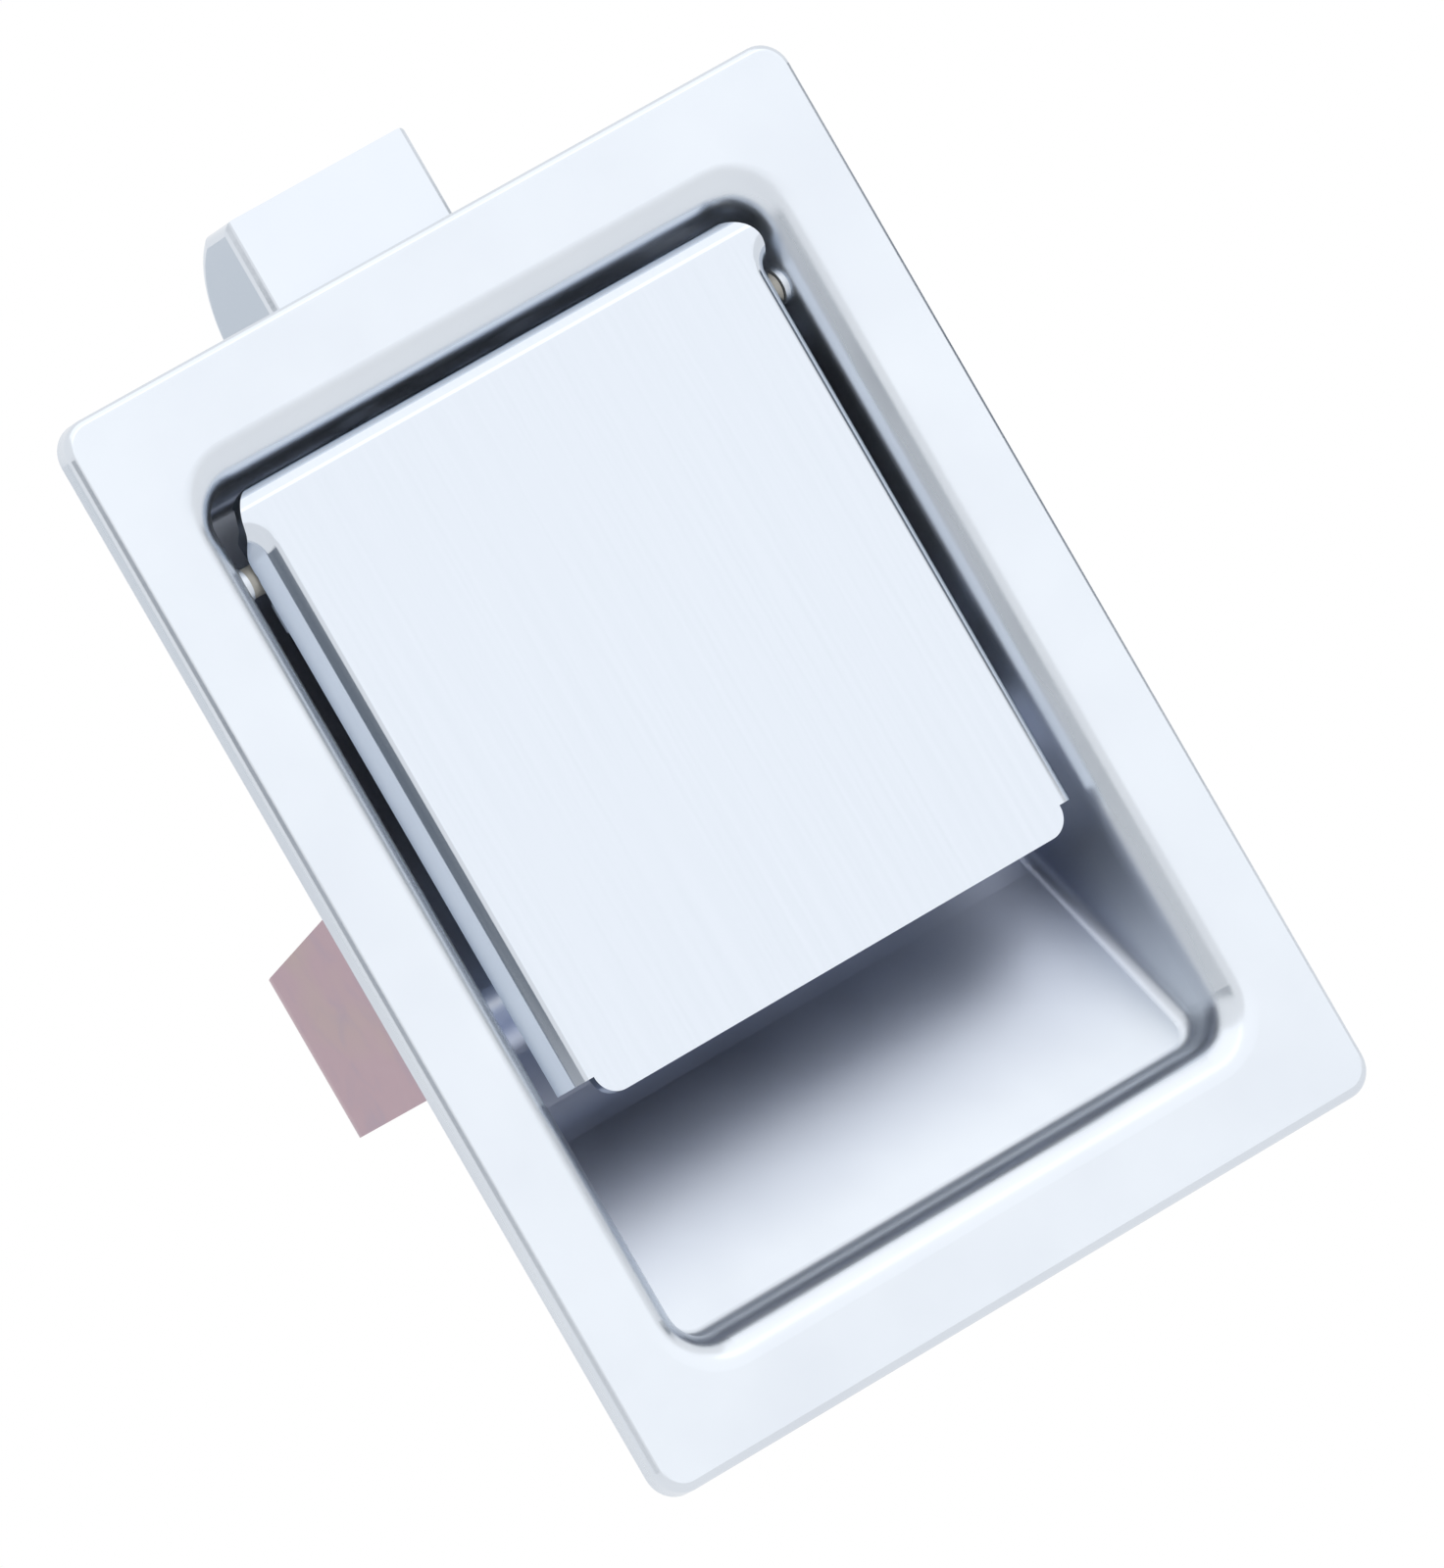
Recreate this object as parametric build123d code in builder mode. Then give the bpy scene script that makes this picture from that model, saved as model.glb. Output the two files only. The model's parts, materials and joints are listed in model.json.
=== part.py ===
from build123d import *
from math import asin, cos, degrees, radians, sqrt, tan
import os

os.makedirs("parts", exist_ok=True)

# Flush paddle latch. Millimetres, X to the right seen from the front, Y into the panel, Z up.
# The origin is the middle of the flange's back face, which lies on the panel.

# Pan: flange, dished recess and finger pocket
flange_width = 84.0
flange_height = 112.0
flange_thickness = 2.5
flange_corner_radius = 3.0
flange_edge_radius = 0.8
flange_root_radius = 2.5
opening_width = 64.0
opening_top_margin = 11.4
opening_bottom_margin = 11.0
opening_corner_radius = 3.8
lip_radius = 4.0
wall = 2.0
draft_angle = 6.0
recess_depth = 10.5
pocket_depth = 16.0
pocket_reach = 9.5
pocket_step_rise = 3.0
pocket_ramp_angle = 24.0
recess_edge_radius = 3.0
pocket_top_radius = 3.5
pocket_sweep_radius = 9.0
floor_corner_radius = 1.5
stop_diameter = 5.0
stop_spread = 19.0
stop_height = 4.0
stop_clearance = 0.2

# Paddle: formed sheet, its top edge turned back and its sides turned down at a slant
paddle_side_gap = 1.7
paddle_top_gap = 1.3
paddle_bottom = -21.4
paddle_sheet = 1.2
paddle_top_radius = 2.4
paddle_top_depth = 2.5
paddle_top_corner_radius = 3.6
paddle_corner_radius = 2.3
paddle_skirt_angle = 60.0
paddle_skirt_depth = 2.9
paddle_skirt_inset = 2.4
paddle_bend_radius = 0.8
run_out_radius = 1.0
run_out_margin = 0.2
ear_inset = 2.5
ear_thickness = 1.6
ear_radius = 2.6
hinge_drop = 9.0
hinge_depth = 4.7
spring_tab_length = 7.0
spring_tab_width = 3.0

# Hinge pin, bushes and clip
pin_diameter = 2.0
pin_head_diameter = 3.4
pin_head_thickness = 1.0
pin_overrun = 1.4
pin_seat_clearance = 0.02
hinge_clearance = 0.05
bush_diameter = 3.0
bush_length = 3.1
side_clearance = 0.12
hinge_pad_diameter = 3.6
hinge_pad_proud = 0.4
spot_face_clearance = 0.25
clip_diameter = 3.4
clip_thickness = 0.6
clip_groove_depth = 0.3
clip_gap_width = 1.2
clip_play = 0.05

# Paddle springs
spring_wire = 0.8
spring_coil_diameter = 4.4
spring_turns = 5
spring_inner_x = 9.6
spring_length = 12.4
spring_up_leg = 5.2
spring_seat_gap = 0.15
anchor_width = 3.2
anchor_height = 3.0

# Release arm
arm_thickness = 4.0
arm_reach = 17.0
arm_nose_radius = 2.2
arm_eye_radius = 2.9
arm_foot_length = 20.0
arm_foot_width = 4.2
arm_slot_clearance = 0.6
paddle_swing = 37.0

# Bolt
bolt_width = 21.3
bolt_front = 10.5
bolt_thickness = 13.4
bolt_projection = 9.7
bolt_length = 41.7
bolt_ramp_radius = 12.0
bolt_ramp_height = 11.2
bolt_edge_radius = 1.0
bolt_throw = 10.8
window_clearance = 0.3
window_corner_radius = 0.4
slam_allowance = 0.7
bolt_spring_spacing = 11.0
bolt_spring_wire = 0.9
bolt_spring_diameter = 5.0
bolt_spring_turns = 6
bolt_pocket_depth = 8.0
bolt_pocket_clearance = 0.4
rod_diameter = 2.4
rod_head_diameter = 4.2
rod_head_thickness = 0.8
rod_rivet_clearance = 0.02
rod_end_clearance = 1.2

# Bolt housing
housing_sheet = 1.5
housing_bend_radius = 0.5
housing_bottom = 5.5
housing_top_rise = 2.4
housing_foot = 14.0
housing_foot_width = 9.0
slide_clearance = 0.3
housing_boss_diameter = 6.4
housing_screw_spread = 17.2
housing_screw_low = 12.5
housing_screw_drop = 5.1
housing_screw_diameter = 3.0
housing_screw_length = 6.0
housing_head_diameter = 5.6
housing_head_height = 2.0

# Mounting bracket and its screws
bracket_sheet = 2.0
bracket_leg_gap = 3.0
bracket_bend_radius = 1.5
bracket_back = 26.0
bracket_bottom = -13.3
bracket_web_height = 16.7
bracket_leg_flare = 2.8
panel_grip = 3.0
bracket_screw_spread = 23.0
bracket_screw_height = -4.9
bracket_screw_diameter = 5.0
bracket_screw_length = 15.0
bracket_boss_diameter = 8.6
bracket_head_flats = 8.0
bracket_head_height = 3.5
bracket_washer_diameter = 10.0
bracket_washer_thickness = 1.0
bracket_lock_diameter = 8.6
bracket_lock_thickness = 1.3
bracket_lock_gap = 1.2
screw_clearance = 0.25
thread_clearance = 0.03
screw_tip_clearance = 1.0
driver_slot_width = 0.9
driver_slot_depth = 0.9

# Places that follow from the sizes above
front_y = -flange_thickness
half_opening = opening_width / 2
opening_top = flange_height / 2 - opening_top_margin
opening_bottom = opening_bottom_margin - flange_height / 2
opening_height = opening_top - opening_bottom
opening_middle = (opening_top + opening_bottom) / 2
recess_y = front_y + recess_depth
recess_back = recess_y + wall
pocket_y = front_y + pocket_depth
pocket_top = paddle_bottom + pocket_reach
paddle_width = opening_width - 2 * paddle_side_gap
half_paddle = paddle_width / 2
paddle_top = opening_top - paddle_top_gap
paddle_back = front_y + paddle_sheet
skirt_end = front_y + paddle_skirt_depth
hinge_y = front_y + hinge_depth
hinge_height = opening_top - hinge_drop
ear_spread = half_paddle - ear_inset
pin_radius = pin_diameter / 2
pad_inner = ear_spread + bush_length + 2 * side_clearance
pad_outer = half_opening + wall + hinge_pad_proud
pin_end = pad_outer + pin_overrun
coil_radius = spring_coil_diameter / 2
leg_y = hinge_y + coil_radius
leg_back = leg_y + spring_wire / 2 + spring_seat_gap
anchor_middle = hinge_height + spring_up_leg - anchor_height / 2
tab_height = hinge_height - ear_radius - spring_tab_width / 2
down_leg = hinge_height - tab_height + spring_tab_width / 2
swing = radians(paddle_swing)
slot_top = hinge_height + arm_nose_radius + arm_slot_clearance
slot_drop = (recess_back - hinge_y) * tan(swing) + arm_nose_radius / cos(swing)
slot_bottom = hinge_height - slot_drop - arm_slot_clearance
half_bolt = bolt_width / 2
bolt_back = bolt_front + bolt_thickness
bolt_top = flange_height / 2 + bolt_projection
bolt_bottom = bolt_top - bolt_length
bolt_middle_y = (bolt_front + bolt_back) / 2
window_bottom = hinge_height - arm_nose_radius - window_clearance
window_top = hinge_height + arm_nose_radius + bolt_throw + slam_allowance
window_width = arm_thickness + 2 * arm_slot_clearance
pocket_roof = bolt_bottom + bolt_pocket_depth
housing_top = opening_top + housing_top_rise
housing_screw_high = opening_top - housing_screw_drop
spring_seat = housing_bottom + housing_sheet
channel_half = half_bolt + slide_clearance
channel_back = bolt_back + slide_clearance
bracket_span = opening_width + 2 * (wall + bracket_leg_gap + bracket_sheet)
bracket_web_y = bracket_back - bracket_sheet
bracket_top = bracket_bottom + bracket_web_height
washer_y = bracket_back
lock_y = washer_y + bracket_washer_thickness
head_y = lock_y + bracket_lock_thickness
sides = (-1, 1)


def depth_plane(y):
    # A sketch plane across the latch at depth y, with its normal into the panel
    return Plane(origin=(0, y, 0), x_dir=(-1, 0, 0), z_dir=(0, 1, 0))


def floor_section(far):
    # Side section of the recess: shallow floor, step, deep pocket and the ramp up to the lower lip
    ramp_run = (paddle_bottom + far) * tan(radians(pocket_ramp_angle))
    with BuildSketch() as section:
        with BuildLine():
            floor = FilletPolyline(
                (recess_y, far),
                (recess_y, pocket_top + pocket_step_rise),
                (pocket_y, pocket_top),
                (pocket_y, paddle_bottom),
                (pocket_y - ramp_run, -far),
                radius=[recess_edge_radius, pocket_top_radius, pocket_sweep_radius],
            )
            Polyline(floor @ 1, (-far, -far), (-far, far), floor @ 0)
        make_face()
    return section.sketch


# Space inside the recess: a drafted opening as deep as the floor line
tub_reach = pocket_depth + 2 * wall
with BuildPart() as recess:
    with BuildSketch(depth_plane(front_y)):
        with Locations((0, opening_middle)):
            RectangleRounded(opening_width, opening_height, opening_corner_radius)
    extrude(amount=tub_reach, taper=draft_angle)
    with BuildSketch(Plane.YZ):
        add(floor_section(flange_height))
    extrude(amount=flange_width, both=True, mode=Mode.INTERSECT)
    side_faces = recess.faces().sort_by(Axis.X)
    floor_edges = (side_faces[0].edges() + side_faces[-1].edges()).filter_by(
        lambda edge: edge.center().Y > front_y + lip_radius
        and opening_bottom + 2 * opening_corner_radius
        < edge.center().Z
        < opening_top - 2 * opening_corner_radius
    )
    fillet(floor_edges, floor_corner_radius)

# The same space grown by the wall
with BuildPart() as tub:
    with BuildSketch(depth_plane(front_y)):
        with Locations((0, opening_middle)):
            RectangleRounded(
                opening_width + 2 * wall, opening_height + 2 * wall, opening_corner_radius + wall
            )
    extrude(amount=tub_reach, taper=draft_angle)
    with BuildSketch(Plane.YZ):
        add(floor_section(flange_height))
        offset(amount=wall)
    extrude(amount=flange_width, both=True, mode=Mode.INTERSECT)

# Pan
bracket_holes = [(side * bracket_screw_spread, bracket_screw_height) for side in sides]
housing_holes = [
    (side * housing_screw_spread, height)
    for side in sides
    for height in (housing_screw_low, housing_screw_high)
]
with BuildPart() as pan:
    with BuildSketch(depth_plane(front_y)):
        RectangleRounded(flange_width, flange_height, flange_corner_radius)
    extrude(amount=flange_thickness)
    fillet(pan.faces().sort_by(Axis.Y)[0].edges(), flange_edge_radius)
    add(tub.part)
    flange_back = pan.faces().filter_by_position(Axis.Y, front_y / 2, flange_thickness / 2)
    seat = flange_back.filter_by(Axis.Y).sort_by(SortBy.AREA)[-1]
    fillet(seat.inner_wires()[0].edges(), flange_root_radius)
    with BuildSketch(depth_plane(recess_y)):
        with Locations(*bracket_holes):
            Circle(bracket_boss_diameter / 2)
    extrude(amount=bracket_web_y - recess_y)
    with BuildSketch(depth_plane(recess_y)):
        with Locations(*housing_holes):
            Circle(housing_boss_diameter / 2)
    extrude(amount=housing_foot - recess_y)
    with BuildSketch(Plane.YZ):
        with Locations((hinge_y, hinge_height)):
            Circle(hinge_pad_diameter / 2)
    extrude(amount=pad_outer, both=True)
    add(recess.part, mode=Mode.SUBTRACT)
    lip = pan.faces().filter_by(Axis.Y).sort_by(Axis.Y)[0].inner_wires()[0]
    fillet(lip.edges(), lip_radius)
    for side in sides:
        with BuildSketch(Plane.YZ.offset(side * pad_inner)):
            with Locations((hinge_y, hinge_height)):
                Circle(hinge_pad_diameter / 2)
        extrude(amount=side * (half_opening + wall / 2 - pad_inner))
        with BuildSketch(Plane.YZ.offset(side * pad_outer)):
            with Locations((hinge_y, hinge_height)):
                Circle(max(pin_head_diameter, clip_diameter) / 2 + spot_face_clearance)
        extrude(amount=side * flange_width / 2, mode=Mode.SUBTRACT)
    with BuildSketch(depth_plane(leg_back)):
        with Locations(*[(side * spring_inner_x, anchor_middle) for side in sides]):
            Rectangle(anchor_width, anchor_height)
    extrude(amount=recess_y + wall / 2 - leg_back)
    with BuildSketch(depth_plane(paddle_back + stop_clearance)):
        with Locations(*[(side * stop_spread, stop_height) for side in sides]):
            Circle(stop_diameter / 2)
    extrude(amount=recess_y + wall / 2 - paddle_back - stop_clearance)
    with BuildSketch(Plane.YZ):
        with Locations((hinge_y, hinge_height)):
            Circle(pin_radius + pin_seat_clearance)
    extrude(amount=flange_width, both=True, mode=Mode.SUBTRACT)
    with BuildSketch(depth_plane(recess_y - wall)):
        with Locations((0, (slot_top + slot_bottom) / 2)):
            RectangleRounded(window_width, slot_top - slot_bottom, window_corner_radius)
    extrude(amount=3 * wall, mode=Mode.SUBTRACT)
    with BuildSketch(depth_plane(bracket_back - bracket_screw_length - screw_tip_clearance)):
        with Locations(*bracket_holes):
            Circle(bracket_screw_diameter / 2 + thread_clearance)
    extrude(amount=bracket_screw_length, mode=Mode.SUBTRACT)
    with BuildSketch(depth_plane(housing_foot + housing_sheet - housing_screw_length - thread_clearance)):
        with Locations(*housing_holes):
            Circle(housing_screw_diameter / 2 + thread_clearance)
    extrude(amount=housing_screw_length, mode=Mode.SUBTRACT)
pan.part.label = "pan"
export_step(pan.part, "parts/pan.step")

# Section of the paddle across its width: the face, a bend and a slanted skirt on each side
bend_outer = paddle_bend_radius + paddle_sheet
skirt_corner = half_paddle - paddle_skirt_depth / tan(radians(paddle_skirt_angle))
half_face = skirt_corner - bend_outer * tan(radians(paddle_skirt_angle / 2))
with BuildSketch() as paddle_section:
    with BuildLine():
        FilletPolyline(
            (-half_paddle, skirt_end),
            (-skirt_corner, front_y),
            (skirt_corner, front_y),
            (half_paddle, skirt_end),
            radius=bend_outer,
        )
        offset(amount=paddle_sheet, side=Side.LEFT)
    make_face()
    with Locations((0, skirt_end)):
        Rectangle(paddle_width, paddle_sheet, align=(Align.CENTER, Align.MIN), mode=Mode.SUBTRACT)

# Upper end of a skirt: the bend turns outward and runs out through the paddle's side
run_out_axis = half_paddle + run_out_radius
run_out_reach = run_out_axis - half_face
run_out_rise = sqrt(run_out_reach**2 - run_out_radius**2)
skirt_top = paddle_top - paddle_top_radius - run_out_margin - run_out_rise
with BuildPart() as run_out:
    with BuildSketch(Plane.XY.offset(skirt_top)):
        add(paddle_section.sketch)
        with Locations((half_face, front_y)):
            Rectangle(
                paddle_width,
                paddle_skirt_depth,
                align=(Align.MIN, Align.MIN),
                mode=Mode.INTERSECT,
            )
    revolve(axis=Axis((run_out_axis, 0, skirt_top), (0, 1, 0)), revolution_arc=90)
    with BuildSketch(depth_plane(front_y)):
        Rectangle(paddle_width, flange_height)
    extrude(amount=paddle_skirt_depth, mode=Mode.INTERSECT)

# Paddle
with BuildPart() as paddle:
    with BuildSketch(Plane.YZ):
        with BuildLine():
            FilletPolyline(
                (front_y, paddle_bottom),
                (front_y, paddle_top),
                (front_y + paddle_top_depth, paddle_top),
                radius=paddle_top_radius,
            )
            offset(amount=paddle_sheet, side=Side.RIGHT)
        make_face()
    extrude(amount=half_paddle, both=True)
    with BuildSketch(depth_plane(front_y)):
        for side in sides:
            with Locations((side * half_face, skirt_top)):
                Rectangle(
                    paddle_width,
                    flange_height,
                    align=(Align.MIN if side > 0 else Align.MAX, Align.MAX),
                )
            with Locations((side * run_out_axis, skirt_top)):
                Circle(run_out_reach)
    extrude(amount=paddle_sheet, mode=Mode.SUBTRACT)
    fillet(paddle.edges().filter_by(Axis.Y).group_by(Axis.Z)[0], paddle_corner_radius)
    with BuildSketch(Plane.XY.offset(paddle_bottom + paddle_skirt_inset)):
        add(paddle_section.sketch)
    extrude(amount=skirt_top - paddle_bottom - paddle_skirt_inset)
    add(run_out.part)
    mirror(run_out.part, about=Plane.YZ)
    with BuildSketch(depth_plane(front_y)):
        with Locations((0, paddle_top)):
            Rectangle(paddle_width, paddle_top - paddle_bottom, align=(Align.CENTER, Align.MAX))
        fillet(vertices().group_by(Axis.Y)[-1], paddle_top_corner_radius)
    extrude(amount=paddle_skirt_depth, mode=Mode.INTERSECT)
    for side in sides:
        with BuildSketch(Plane.YZ.offset(side * ear_spread)):
            with Locations((hinge_y, hinge_height)):
                Circle(ear_radius)
            with Locations((paddle_back, hinge_height)):
                Rectangle(hinge_y - paddle_back, 2 * ear_radius, align=(Align.MIN, Align.CENTER))
            with Locations((paddle_back, tab_height)):
                Rectangle(
                    leg_back + paddle_sheet - paddle_back,
                    spring_tab_width,
                    align=(Align.MIN, Align.CENTER),
                )
        extrude(amount=-side * ear_thickness)
        with BuildSketch(Plane.YZ.offset(side * ear_spread)):
            with Locations((leg_back, tab_height)):
                Rectangle(paddle_sheet, spring_tab_width, align=(Align.MIN, Align.CENTER))
        extrude(amount=-side * (ear_thickness + spring_tab_length))
    with BuildSketch(Plane.YZ):
        with Locations((hinge_y, hinge_height)):
            Circle(pin_radius + hinge_clearance)
    extrude(amount=paddle_width, both=True, mode=Mode.SUBTRACT)
paddle.part.label = "paddle"
export_step(paddle.part, "parts/paddle.step")

# Release arm: a lever plate welded edge-on to the paddle's back
with BuildPart() as release_arm:
    with BuildSketch(Plane.YZ):
        with Locations((hinge_y + arm_reach / 2, hinge_height)):
            SlotCenterToCenter(arm_reach, 2 * arm_nose_radius)
        with Locations((paddle_back, hinge_height)):
            Rectangle(arm_foot_width, arm_foot_length, align=(Align.MIN, Align.MAX))
        with Locations((hinge_y, hinge_height)):
            Circle(arm_eye_radius)
        with Locations((hinge_y, hinge_height)):
            Circle(pin_radius + hinge_clearance, mode=Mode.SUBTRACT)
    extrude(amount=arm_thickness / 2, both=True)
release_arm.part.label = "release_arm"
export_step(release_arm.part, "parts/release_arm.step")

# Hinge pin: headed on the left, grooved for the clip on the right
groove_start = pad_outer + clip_play
with BuildPart() as hinge_pin:
    with BuildSketch(Plane.YZ.offset(-pad_outer - pin_head_thickness)):
        with Locations((hinge_y, hinge_height)):
            Circle(pin_head_diameter / 2)
    extrude(amount=pin_head_thickness)
    with BuildSketch(Plane.YZ.offset(-pad_outer)):
        with Locations((hinge_y, hinge_height)):
            Circle(pin_radius)
    extrude(amount=pad_outer + pin_end)
    with BuildSketch(Plane.YZ.offset(groove_start)):
        with Locations((hinge_y, hinge_height)):
            Circle(pin_radius)
            Circle(pin_radius - clip_groove_depth, mode=Mode.SUBTRACT)
    extrude(amount=clip_thickness + 2 * clip_play, mode=Mode.SUBTRACT)
hinge_pin.part.label = "hinge_pin"
export_step(hinge_pin.part, "parts/hinge_pin.step")

with BuildPart() as hinge_pin_clip:
    with BuildSketch(Plane.YZ.offset(groove_start + clip_play)):
        with Locations((hinge_y, hinge_height)):
            Circle(clip_diameter / 2)
            Circle(pin_radius - clip_groove_depth + pin_seat_clearance, mode=Mode.SUBTRACT)
            Rectangle(clip_gap_width, clip_diameter, align=(Align.CENTER, Align.MAX), mode=Mode.SUBTRACT)
    extrude(amount=clip_thickness)
hinge_pin_clip.part.label = "hinge_pin_clip"
export_step(hinge_pin_clip.part, "parts/hinge_pin_clip.step")

# Bushes: spacers on the pin between the paddle's ears and the pan's pads
for name, side in (("hinge_bush_left", -1), ("hinge_bush_right", 1)):
    with BuildPart() as bush:
        with BuildSketch(Plane.YZ.offset(side * (ear_spread + side_clearance))):
            with Locations((hinge_y, hinge_height)):
                Circle(bush_diameter / 2)
                Circle(pin_radius + pin_seat_clearance, mode=Mode.SUBTRACT)
        extrude(amount=side * bush_length)
    bush.part.label = name
    export_step(bush.part, f"parts/{name}.step")

# Paddle springs: one leg stands up against the pan's anchor, the other hangs down on the paddle's tab
with BuildPart() as torsion_spring:
    with BuildLine() as spring_path:
        coil = Helix(spring_length / spring_turns, spring_length, coil_radius, lefthand=True)
        Line(coil @ 0 - (coil % 0) * spring_up_leg, coil @ 0)
        Line(coil @ 1, coil @ 1 + (coil % 1) * down_leg)
    with BuildSketch(Plane(origin=coil @ 0 - (coil % 0) * spring_up_leg, z_dir=coil % 0)):
        Circle(spring_wire / 2)
    sweep(path=spring_path.line)
spring_place = Plane(origin=(spring_inner_x, hinge_y, hinge_height), x_dir=(0, 1, 0), z_dir=(1, 0, 0))
with BuildPart() as paddle_spring_right:
    add(spring_place.location * torsion_spring.part)
paddle_spring_right.part.label = "paddle_spring_right"
export_step(paddle_spring_right.part, "parts/paddle_spring_right.step")

with BuildPart() as paddle_spring_left:
    mirror(paddle_spring_right.part, about=Plane.YZ)
paddle_spring_left.part.label = "paddle_spring_left"
export_step(paddle_spring_left.part, "parts/paddle_spring_left.step")

# Bolt: flat striking face in front, curved slam ramp behind, a window for the arm, two spring pockets
bolt_spring_places = [(side * bolt_spring_spacing / 2, bolt_middle_y) for side in sides]
ramp_centre = (bolt_back - bolt_ramp_radius, bolt_top - bolt_ramp_height)
ramp_turn = degrees(asin(bolt_ramp_height / bolt_ramp_radius))
with BuildPart() as bolt:
    with BuildSketch(Plane.YZ):
        with BuildLine():
            ramp = CenterArc(ramp_centre, bolt_ramp_radius, 0, ramp_turn)
            Polyline(
                ramp @ 1,
                (bolt_front, bolt_top),
                (bolt_front, bolt_bottom),
                (bolt_back, bolt_bottom),
                ramp @ 0,
            )
        make_face()
    extrude(amount=half_bolt, both=True)
    fillet(bolt.faces().filter_by(Axis.X).edges(), bolt_edge_radius)
    with BuildSketch(depth_plane(bolt_front)):
        with Locations((0, (window_top + window_bottom) / 2)):
            RectangleRounded(window_width, window_top - window_bottom, window_corner_radius)
    extrude(amount=bolt_thickness, mode=Mode.SUBTRACT)
    with BuildSketch(Plane.XY.offset(bolt_bottom)):
        with Locations(*bolt_spring_places):
            Circle((bolt_spring_diameter + bolt_spring_wire) / 2 + bolt_pocket_clearance)
    extrude(amount=bolt_pocket_depth, mode=Mode.SUBTRACT)
bolt.part.label = "bolt"
export_step(bolt.part, "parts/bolt.step")

# Bolt housing: hat section with a floor tab that carries the springs
foot_edge = channel_half + housing_sheet + housing_foot_width
with BuildPart() as bolt_housing:
    with BuildSketch(Plane.XY.offset(housing_bottom)):
        with BuildLine():
            FilletPolyline(
                (-foot_edge, housing_foot),
                (-channel_half, housing_foot),
                (-channel_half, channel_back),
                (channel_half, channel_back),
                (channel_half, housing_foot),
                (foot_edge, housing_foot),
                radius=[
                    housing_bend_radius + housing_sheet,
                    housing_bend_radius,
                    housing_bend_radius,
                    housing_bend_radius + housing_sheet,
                ],
            )
            offset(amount=housing_sheet, side=Side.LEFT)
        make_face()
    extrude(amount=housing_top - housing_bottom)
    with BuildSketch(Plane.XY.offset(housing_bottom)):
        with Locations((0, channel_back + housing_sheet / 2)):
            Rectangle(
                2 * (channel_half - slide_clearance),
                channel_back - bolt_front,
                align=(Align.CENTER, Align.MAX),
            )
        with Locations(*bolt_spring_places):
            Circle(rod_diameter / 2 + rod_rivet_clearance, mode=Mode.SUBTRACT)
    extrude(amount=housing_sheet)
    with BuildSketch(depth_plane(housing_foot)):
        with Locations(*housing_holes):
            Circle(housing_screw_diameter / 2 + screw_clearance)
    extrude(amount=housing_sheet, mode=Mode.SUBTRACT)
bolt_housing.part.label = "bolt_housing"
export_step(bolt_housing.part, "parts/bolt_housing.step")

# Housing screws: pan heads with a cross recess
with BuildPart() as housing_screws:
    with BuildSketch(depth_plane(housing_foot + housing_sheet)):
        with Locations(*housing_holes):
            Circle(housing_head_diameter / 2)
    extrude(amount=housing_head_height)
    fillet(housing_screws.edges().group_by(Axis.Y)[-1], housing_head_height / 2)
    with BuildSketch(depth_plane(housing_foot + housing_sheet + housing_head_height - driver_slot_depth)):
        with Locations(*housing_holes):
            Rectangle(driver_slot_width, housing_head_diameter / 2)
            Rectangle(housing_head_diameter / 2, driver_slot_width)
    extrude(amount=housing_head_height, mode=Mode.SUBTRACT)
    with BuildSketch(depth_plane(housing_foot + housing_sheet - housing_screw_length)):
        with Locations(*housing_holes):
            Circle(housing_screw_diameter / 2)
    extrude(amount=housing_screw_length)
housing_screws.part.label = "housing_screws"
export_step(housing_screws.part, "parts/housing_screws.step")

# Bolt springs on their riveted rods
spring_foot = spring_seat + bolt_spring_wire / 2 + spring_seat_gap
spring_rise = pocket_roof - bolt_spring_wire / 2 - spring_seat_gap - spring_foot
rod_top = pocket_roof - bolt_throw - rod_end_clearance
for end, (x, y) in zip(("left", "right"), bolt_spring_places):
    with BuildPart() as bolt_spring:
        with BuildLine() as spring_path:
            coil = Helix(
                spring_rise / bolt_spring_turns,
                spring_rise,
                bolt_spring_diameter / 2,
                center=(x, y, spring_foot),
            )
        with BuildSketch(Plane(origin=coil @ 0, z_dir=coil % 0)):
            Circle(bolt_spring_wire / 2)
        sweep(path=spring_path.line, is_frenet=True)
    bolt_spring.part.label = f"bolt_spring_{end}"
    export_step(bolt_spring.part, f"parts/bolt_spring_{end}.step")

    with BuildPart() as spring_rod:
        with BuildSketch(Plane.XY.offset(housing_bottom)):
            with Locations((x, y)):
                Circle(rod_diameter / 2)
        extrude(amount=rod_top - housing_bottom)
        chamfer(spring_rod.edges().group_by(Axis.Z)[-1], rod_diameter / 6)
        with BuildSketch(Plane.XY.offset(housing_bottom)):
            with Locations((x, y)):
                Circle(rod_head_diameter / 2)
        extrude(amount=-rod_head_thickness)
        fillet(spring_rod.edges().group_by(Axis.Z)[0], rod_head_thickness / 2)
    spring_rod.part.label = f"spring_rod_{end}"
    export_step(spring_rod.part, f"parts/spring_rod_{end}.step")

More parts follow.
